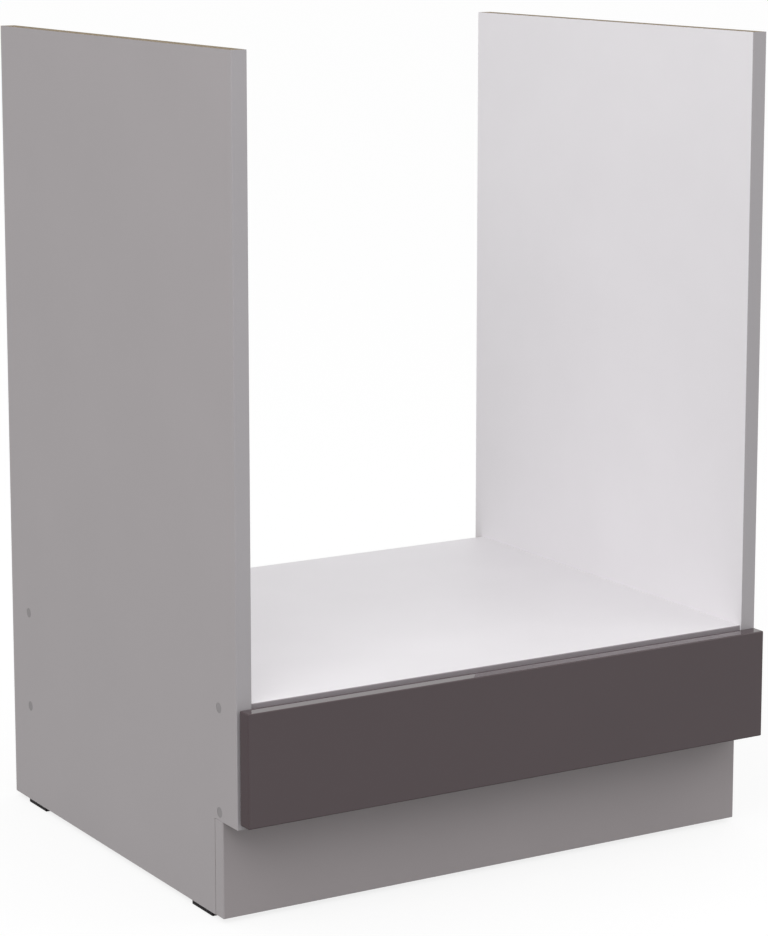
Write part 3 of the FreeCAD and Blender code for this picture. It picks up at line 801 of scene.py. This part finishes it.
def thicken(piece, thickness):
    """Gives a sheet its thickness, half to each side."""
    modifier = piece.modifiers.new("sheet", "SOLIDIFY")
    modifier.thickness = thickness
    modifier.offset = 0.0
    modifier.use_even_offset = True


def dress(node, finish):
    """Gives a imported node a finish."""
    for slot in frame["nodes"][node].material_slots:
        slot.material = finish


# Operators


class OVENUNIT_OT_boards(bpy.types.Operator):
    """Finishes the boards: grey or white melamine faces and raw chipboard edges"""

    bl_idname = "oven_unit.boards"
    bl_label = "Boards"

    def execute(self, context):
        scene = context.scene
        colours = scene.unit_colours
        for side in SIDES:
            node = "side_panel_" + side
            _, near, far = side_of(node)
            finish = faced_board("side_board", X_AXIS, near, far, colours.inside, colours.outside, scene)
            dress(node, finish)
        for node in ("oven_shelf", "base_board", "drawer_bottom"):
            low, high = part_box(node)
            # The oven shelf's top takes the darker white, painted shade against the stronger light that
            # falls on it
            top = colours.shelf if node == "oven_shelf" else colours.inside
            dress(node, faced_board(node + "_board", Z_AXIS, low.z, high.z, colours.inside, top, scene))
        dress("drawer_back", melamine("drawer_back_board", colours.inside))
        dress("back_panel", hardboard(colours, "back_panel"))
        return {"FINISHED"}


class OVENUNIT_OT_edge_bands(bpy.types.Operator):
    """Makes the plastic edging on the front edges of the boards"""

    bl_idname = "oven_unit.edge_bands"
    bl_label = "Edge bands"

    def execute(self, context):
        scene = context.scene
        grey = edging("grey_edge_band", scene.unit_colours.band)
        # The shelf and base board edgings take the darker grey, painted shade where the drawer front shades
        # them
        dark = edging("edge_band_painted_shade", scene.unit_colours.shelf_band_painted_shade)
        bands = {"side_edge_band_left": (Z_AXIS, grey), "side_edge_band_right": (Z_AXIS, grey),
                 "oven_shelf_edge_band": (X_AXIS, dark), "base_board_edge_band": (X_AXIS, dark)}
        for node, (axis, finish) in bands.items():
            low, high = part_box(node)
            bm = box_shape(low, high)
            middle = (low.y + high.y) / 2
            front = [e for e in bm.edges if runs_along(e, axis) and e.verts[0].co.y < middle]
            round_off(bm, front, scene.unit_sizes.band_round, BEVEL_STEPS)
            keep_flat(new_piece(bm, node, "grey_edge_band", finish))
        return {"FINISHED"}


class OVENUNIT_OT_drawer_front(bpy.types.Operator):
    """Makes the drawer front: gloss lacquer, satin ends and underside in a lighter colour as painted sheen,
    and a white back inside the turned edge
    """

    bl_idname = "oven_unit.drawer_front"
    bl_label = "Drawer front"

    def execute(self, context):
        scene = context.scene
        sizes, colours = scene.unit_sizes, scene.unit_colours
        finishes = {
            FRONT_FACE: lacquer("gloss_lacquer", colours.front, GLOSS_COAT),
            FRONT_BACK: melamine("front_backing", colours.inside),
            FRONT_ENDS: lacquer("satin_lacquer_painted_sheen", colours.front_ends_painted_sheen, SATIN_COAT),
        }
        bm = box_shape(*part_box("drawer_front"))
        round_off(bm, list(bm.edges), sizes.front_round, BEVEL_STEPS)
        back = max(bm.faces, key=lambda face: face.calc_center_median().y)
        bmesh.ops.inset_region(bm, faces=[back], thickness=sizes.front_wrap, use_even_offset=True)
        back.material_index = FRONT_BACK
        bm.normal_update()
        # The ends and the underside take the satin lacquer, lighter in colour as painted sheen in place of
        # the face's gloss reflection
        for face in bm.faces:
            if abs(face.normal.x) > LEAN or face.normal.z < -LEAN:
                face.material_index = FRONT_ENDS
        keep_flat(new_piece(bm, "drawer_front", "gloss_lacquer", *finishes.values()))
        return {"FINISHED"}


class OVENUNIT_OT_plinth(bpy.types.Operator):
    """Makes the plinth board with eased edges and its face in a darker grey as painted shade under the
    drawer front, and finishes its corner blocks
    """

    bl_idname = "oven_unit.plinth"
    bl_label = "Plinth"

    def execute(self, context):
        scene = context.scene
        colours, rounding = scene.unit_colours, scene.unit_sizes.plinth_round
        low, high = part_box("plinth_board")
        bm = box_shape(low, high)
        round_off(bm, list(bm.edges), rounding, BEVEL_STEPS)
        for face in bm.faces:
            at_end = abs(face.calc_center_median().x) > high.x - rounding
            face.material_index = int(at_end)
        # The plinth's face takes the darker grey, painted shade under the drawer front; its ends keep the
        # grey of the sides
        finishes = melamine("plinth_board", colours.plinth), melamine("plinth_ends", colours.outside)
        keep_flat(new_piece(bm, "plinth_board", "grey_board", *finishes))
        for side in SIDES:
            dress("plinth_block_" + side, grey_plastic(colours))
        return {"FINISHED"}


class OVENUNIT_OT_glides(bpy.types.Operator):
    """Finishes the black floor glides"""

    bl_idname = "oven_unit.glides"
    bl_label = "Floor glides"

    def execute(self, context):
        finish = black_plastic(context.scene.unit_colours)
        for place in ("front", "rear"):
            for side in SIDES:
                dress(f"glide_{place}_{side}", finish)
        return {"FINISHED"}


class OVENUNIT_OT_screw_caps(bpy.types.Operator):
    """Makes the domed caps over the carcass screws"""

    bl_idname = "oven_unit.screw_caps"
    bl_label = "Screw caps"

    def execute(self, context):
        scene = context.scene
        sizes = scene.unit_sizes
        for side in SIDES:
            node = "screw_caps_" + side
            bm = bmesh.new()
            for points in solids_in(node):
                cap = pin_in(points, X_AXIS, side_of(node).sign)
                wall = [(cap.head_radius, cap.length), (0, cap.length)]
                outline = head_outline(CAP_DOME, cap.head_radius, sizes.cap_dome) + wall
                set_in_place(bm, turn(bm, outline, sizes.turn_steps), cap)
            new_piece(bm, node, "grey_plastic", grey_plastic(scene.unit_colours))
        return {"FINISHED"}


class OVENUNIT_OT_nails(bpy.types.Operator):
    """Makes the nails of the back panel and of the glides, with low domed heads"""

    bl_idname = "oven_unit.nails"
    bl_label = "Nails"

    def execute(self, context):
        scene = context.scene
        for node in ("back_panel_nails", "glide_nails"):
            bm = bmesh.new()
            for points in solids_in(node):
                nail = pin_in(points)
                outline = pointed_outline(NAIL_HEAD, nail)
                set_in_place(bm, turn(bm, outline, scene.unit_sizes.turn_steps), nail)
            new_piece(bm, node, "zinc_steel", zinc_steel(scene.unit_colours))
        return {"FINISHED"}


class OVENUNIT_OT_screws(bpy.types.Operator):
    """Makes the wood screws with cross-recess heads, and finishes the hidden screws and dowels"""

    bl_idname = "oven_unit.screws"
    bl_label = "Screws and dowels"

    def execute(self, context):
        scene = context.scene
        colours = scene.unit_colours
        steel = zinc_steel(colours)
        for place in ("runner", "drawer_bottom", "drawer_back", "plinth_block", "bracket"):
            node = place + "_screws"
            bm = bmesh.new()
            for points in solids_in(node):
                self.add_screw(bm, pin_in(points), scene.unit_sizes.turn_steps)
            new_piece(bm, node, "zinc_steel", steel)
        for side in SIDES:
            dress("carcass_screws_" + side, steel)
            dress("carcass_dowels_" + side, beech(colours))
        return {"FINISHED"}

    def add_screw(self, bm, screw, steps):
        radius, height = screw.head_radius, screw.head_height
        made = turn(bm, pointed_outline(SCREW_HEAD, screw), steps)
        arm, half_width, depth = RECESS_ARM * radius, RECESS_HALF_WIDTH * radius, RECESS_DEPTH * height
        made += cross_recess(bm, made, arm, half_width, depth)
        set_in_place(bm, made, screw)


class OVENUNIT_OT_rivets(bpy.types.Operator):
    """Makes the blind rivets of the front brackets, with the hole that their mandrel leaves"""

    bl_idname = "oven_unit.rivets"
    bl_label = "Rivets"

    def execute(self, context):
        scene = context.scene
        sizes = scene.unit_sizes
        bm = bmesh.new()
        for points in solids_in("bracket_rivets"):
            rivet = pin_in(points, X_AXIS)
            outline = pin_outline(RIVET_HEAD, rivet, rivet.length - sizes.side_sheet / 2)
            set_in_place(bm, turn(bm, outline, sizes.turn_steps), rivet)
        new_piece(bm, "bracket_rivets", "zinc_steel", zinc_steel(scene.unit_colours))
        return {"FINISHED"}


class OVENUNIT_OT_bumpers(bpy.types.Operator):
    """Makes the clear domed pads behind the drawer front"""

    bl_idname = "oven_unit.bumpers"
    bl_label = "Bumpers"

    def execute(self, context):
        scene = context.scene
        bm = bmesh.new()
        for points in solids_in("front_bumpers"):
            pad = pin_in(points, Y_AXIS, 1)
            outline = head_outline(BUMPER_DOME, pad.head_radius, pad.length) + [(0, pad.length)]
            set_in_place(bm, turn(bm, outline, scene.unit_sizes.turn_steps), pad)
        new_piece(bm, "front_bumpers", "clear_bumper", clear_bumper(scene.unit_colours))
        return {"FINISHED"}


class OVENUNIT_OT_runners(bpy.types.Operator):
    """Makes the runner channels, folded from coated sheet"""

    bl_idname = "oven_unit.runners"
    bl_label = "Runners"

    def execute(self, context):
        scene = context.scene
        sizes = scene.unit_sizes
        half = sizes.runner_sheet / 2
        for side in SIDES:
            node = "runner_" + side
            low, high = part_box(node)
            sign, near, far = side_of(node)
            bottom, top = low.z + half, high.z - half
            web = far - half
            section = ((near, bottom), (web, bottom), (web, top), (near, top))
            path = [(sign * x, low.y, z) for x, z in section]
            bm = bmesh.new()
            folded_sheet(bm, path, (0, high.y - low.y, 0), sizes.fold_radius)
            piece = new_piece(bm, node, "coated_steel", coated_steel(scene.unit_colours))
            thicken(piece, sizes.runner_sheet)
        return {"FINISHED"}


class OVENUNIT_OT_drawer_sides(bpy.types.Operator):
    """Makes the folded, double-skinned drawer sides, with the flange that rides on the rollers"""

    bl_idname = "oven_unit.drawer_sides"
    bl_label = "Drawer sides"

    def execute(self, context):
        scene = context.scene
        sizes = scene.unit_sizes
        sheet = sizes.side_sheet
        half = sheet / 2
        for side in SIDES:
            node = "drawer_side_" + side
            low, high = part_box(node)
            sign, ledge_tip, rider_tip = side_of(node)
            inner = side_of("front_bracket_" + side).far + half
            outer = side_of("rear_roller_axle_" + side).near + half
            bottom, rim = low.z + half, high.z - half
            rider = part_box("front_roller_" + side)[1].z + sizes.roll_gap + half
            skins = [(ledge_tip, bottom), (inner, bottom), (inner, rim), (outer, rim), (outer, low.z)]
            flange = [(outer, rider), (rider_tip, rider)]
            bm = bmesh.new()
            for path in (skins, flange):
                points = [(sign * x, low.y, z) for x, z in path]
                folded_sheet(bm, points, (0, high.y - low.y, 0), sizes.fold_radius)
            thicken(new_piece(bm, node, "coated_steel", coated_steel(scene.unit_colours)), sheet)
        return {"FINISHED"}


class OVENUNIT_OT_brackets(bpy.types.Operator):
    """Makes the angle brackets that hold the drawer front to the drawer sides"""

    bl_idname = "oven_unit.brackets"
    bl_label = "Front brackets"

    def execute(self, context):
        scene = context.scene
        sizes = scene.unit_sizes
        half = sizes.bracket_sheet / 2
        for side in SIDES:
            node = "front_bracket_" + side
            low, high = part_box(node)
            sign, near, far = side_of(node)
            bend_x, bend_y = far - half, low.y + half
            path = [(sign * x, y, low.z) for x, y in ((near, bend_y), (bend_x, bend_y), (bend_x, high.y))]
            bm = bmesh.new()
            folded_sheet(bm, path, (0, 0, high.z - low.z), sizes.fold_radius)
            free = [v for v in bm.verts if abs(abs(v.co.x) - near) < MERGE or abs(v.co.y - high.y) < MERGE]
            round_off(bm, free, sizes.corner_radius, FOLD_STEPS, affect="VERTICES")
            thicken(new_piece(bm, node, "zinc_steel", zinc_steel(scene.unit_colours)), sizes.bracket_sheet)
        return {"FINISHED"}


class OVENUNIT_OT_rollers(bpy.types.Operator):
    """Makes the nylon rollers, with a hub and a thin web, and their riveted axles"""

    bl_idname = "oven_unit.rollers"
    bl_label = "Rollers and axles"

    def execute(self, context):
        scene = context.scene
        sizes, colours = scene.unit_sizes, scene.unit_colours
        sheets = {"front": sizes.runner_sheet, "rear": sizes.side_sheet}
        for place, sheet in sheets.items():
            for side in SIDES:
                self.add_roller(f"{place}_roller_{side}", sizes.turn_steps, nylon(colours))
                self.add_axle(f"{place}_roller_axle_{side}", sizes.turn_steps, sheet, zinc_steel(colours))
        return {"FINISHED"}

    def add_roller(self, node, steps, finish):
        """A roller that is alike on both faces."""
        bm = bmesh.new()
        roller = pin_in(solids_in(node)[0], X_AXIS, 1)
        radius, width, bore = roller.head_radius, roller.length, roller.bore_radius
        hub, inside = bore + HUB_WALL * radius, RIM_INSIDE * radius
        web, draft = WEB_DEPTH * width, WEB_DRAFT * radius
        face = [(bore, 0), (hub, 0), (hub + draft, web), (inside - draft, web)]
        face += head_outline(ROLLER_RIM, radius, width)
        outline = face + [(out, width - depth) for out, depth in reversed(face)]
        set_in_place(bm, turn(bm, outline, ROLLER_STEPS * steps, closed=True), roller)
        new_piece(bm, node, "nylon", finish)

    def add_axle(self, node, steps, sheet, finish):
        """An axle whose shank ends inside the sheet that holds it."""
        bm = bmesh.new()
        axle = pin_in(solids_in(node)[0], X_AXIS)
        outline = pin_outline(AXLE_HEAD, axle, axle.length - sheet / 2)
        set_in_place(bm, turn(bm, outline, steps), axle)
        new_piece(bm, node, "zinc_steel", finish)


class OVENUNIT_OT_stage(bpy.types.Operator):
    """Makes the pale floor, the soft studio light and the camera"""

    bl_idname = "oven_unit.stage"
    bl_label = "Stage"

    # Softboxes: place, side and power
    LAMPS = {
        "key_softbox": ((-1.7, -1.45, 2.06), 1.6, 22.0),
        "fill_softbox": ((2.4, -1.8, 2.0), 2.0, 13.0),
    }
    AIM = Vector((0.0, 0.0, 0.4))

    def execute(self, context):
        scene = context.scene
        scene.view_settings.view_transform = "Standard"
        self.add_floor(scene, scene.unit_stage)
        self.add_sky(scene, scene.unit_stage)
        for name, (place, side, power) in self.LAMPS.items():
            self.add_softbox(scene, name, Vector(place), side, power)
        self.add_camera(scene, scene.unit_stage)
        return {"FINISHED"}

    def add_floor(self, scene, stage):
        bm = bmesh.new()
        place = Matrix.Translation((0, 0, CAD_BOX[0].z))
        bmesh.ops.create_grid(bm, x_segments=1, y_segments=1, size=stage.floor_size, matrix=place)
        mesh = bpy.data.meshes.new("floor")
        bm.to_mesh(mesh)
        bm.free()
        mesh.materials.append(self.floor_finish(stage))
        floor = bpy.data.objects.new("floor", mesh)
        scene.collection.objects.link(floor)

    def floor_finish(self, stage):
        """A pale floor that the eye and reflections see as white, apart from the shadows on it."""
        nodes = new_finish("floor")
        seen = self.seen(nodes)
        tone = nodes.mix(seen, [stage.floor_tone] * 3, WHITE)
        matt = nodes.node("BsdfDiffuse", {}, {"Color": tone})
        glow = nodes.node("Emission", {}, {"Color": rgba(WHITE), "Strength": 1.0})
        shader = nodes.node("MixShader", {}, {0: seen * stage.floor_glow, 1: matt, 2: glow})
        nodes.node("OutputMaterial", {}, {"Surface": shader})
        return nodes.owner

    def seen(self, nodes):
        """1 for what the eye sees, directly or in a gloss or through a clear piece."""
        camera = nodes.node("LightPath", {}, {}, "Is Camera Ray")
        glossy, through = camera.also("Is Glossy Ray"), camera.also("Is Transmission Ray")
        return camera.math("MAXIMUM", camera.math("MAXIMUM", camera, glossy), through)

    def add_sky(self, scene, stage):
        scene.world = bpy.data.worlds.get("studio") or bpy.data.worlds.new("studio")
        nodes = Nodes(scene.world)
        strength = between((stage.sky, 1.0), self.seen(nodes))
        sky = nodes.node("Background", {}, {"Color": rgba(WHITE), "Strength": strength})
        nodes.node("OutputWorld", {}, {"Surface": sky})

    def add_softbox(self, scene, name, place, side, power):
        lamp = bpy.data.lights.new(name, "AREA")
        lamp.shape = "SQUARE"
        lamp.size = side
        lamp.energy = power
        softbox = bpy.data.objects.new(name, lamp)
        softbox.location = place
        softbox.rotation_euler = (self.AIM - place).to_track_quat("-Z", "Y").to_euler()
        scene.collection.objects.link(softbox)

    def add_camera(self, scene, stage):
        camera = bpy.data.objects.new("camera", bpy.data.cameras.new("camera"))
        camera.location = stage.eye
        camera.rotation_euler = (math.pi / 2 - stage.tilt, 0.0, -stage.turn)
        camera.data.sensor_width = FILM_SIDE
        camera.data.lens = stage.lens
        camera.data.shift_y = stage.shift
        scene.collection.objects.link(camera)
        scene.camera = camera


PIECES = (
    OVENUNIT_OT_boards,
    OVENUNIT_OT_edge_bands,
    OVENUNIT_OT_drawer_front,
    OVENUNIT_OT_plinth,
    OVENUNIT_OT_glides,
    OVENUNIT_OT_screw_caps,
    OVENUNIT_OT_nails,
    OVENUNIT_OT_screws,
    OVENUNIT_OT_rivets,
    OVENUNIT_OT_bumpers,
    OVENUNIT_OT_runners,
    OVENUNIT_OT_drawer_sides,
    OVENUNIT_OT_brackets,
    OVENUNIT_OT_rollers,
    OVENUNIT_OT_stage,
)


class OVENUNIT_PT_pieces(bpy.types.Panel):
    """Lists the pieces of the unit, and its sizes and colours"""

    bl_idname = "OVENUNIT_PT_pieces"
    bl_label = "Oven base unit"
    bl_space_type = "VIEW_3D"
    bl_region_type = "UI"
    bl_category = "Oven unit"

    def draw(self, context):
        for piece in PIECES:
            self.layout.operator(piece.bl_idname)
        for group in (context.scene.unit_sizes, context.scene.unit_colours, context.scene.unit_stage):
            box = self.layout.box()
            for key in type(group).__annotations__:
                box.prop(group, key)


CLASSES = (UnitSizes, UnitColours, UnitStage, *PIECES, OVENUNIT_PT_pieces)


def register():
    for cls in CLASSES:
        bpy.utils.register_class(cls)
    bpy.types.Scene.unit_sizes = PointerProperty(type=UnitSizes)
    bpy.types.Scene.unit_colours = PointerProperty(type=UnitColours)
    bpy.types.Scene.unit_stage = PointerProperty(type=UnitStage)


def unregister():
    del bpy.types.Scene.unit_stage
    del bpy.types.Scene.unit_colours
    del bpy.types.Scene.unit_sizes
    for cls in reversed(CLASSES):
        bpy.utils.unregister_class(cls)


def main():
    register()
    for piece in PIECES:
        family, action = piece.bl_idname.split(".")
        getattr(getattr(bpy.ops, family), action)()


if __name__ == "__main__":
    main()
